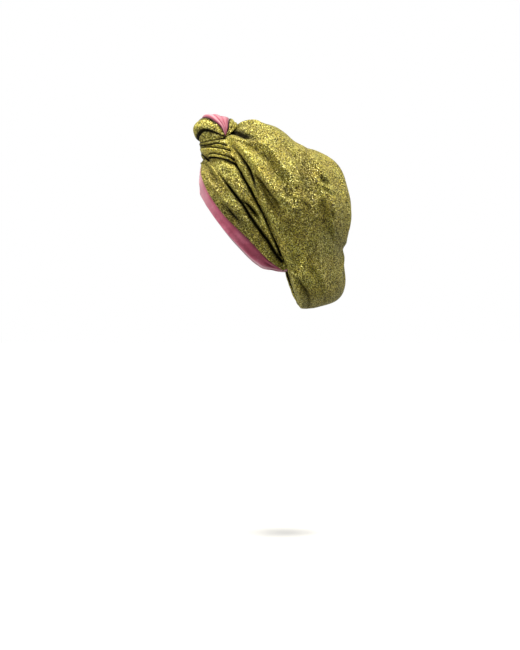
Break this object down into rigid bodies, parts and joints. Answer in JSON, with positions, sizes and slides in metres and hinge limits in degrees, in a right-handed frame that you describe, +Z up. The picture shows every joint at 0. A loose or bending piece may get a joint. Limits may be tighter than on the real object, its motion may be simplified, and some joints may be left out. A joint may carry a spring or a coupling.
{
  "type": "knotted turban",
  "caption": "Slouchy pre-tied turban in gold metallic knit: gathered crown, pleated wraps meeting at a front topknot, velvet brow band",
  "frame": {"origin": "on the crown's inner face over the top of the wearer's head, in the mid-plane, where the turban sits on the head", "axes": "+Z up, -Y the way the wearer faces, +X the wearer's left"},
  "size_m": [0.1776, 0.217, 0.2666],
  "materials": {
    "gold_knit": "doubled knit with gold metallic thread and fine glitter",
    "pink_velvet": "short-pile rose pink velvet"
  },
  "bodies": {
    "root": {"crown": "gold_knit", "wrap_left": "gold_knit", "wrap_right": "gold_knit", "velvet_band": "pink_velvet", "knot_collar": "gold_knit", "knot_tuck": "gold_knit", "knot_velvet": "pink_velvet", "knot_loop": "gold_knit", "knot_core": "gold_knit"}
  },
  "joints": []
}
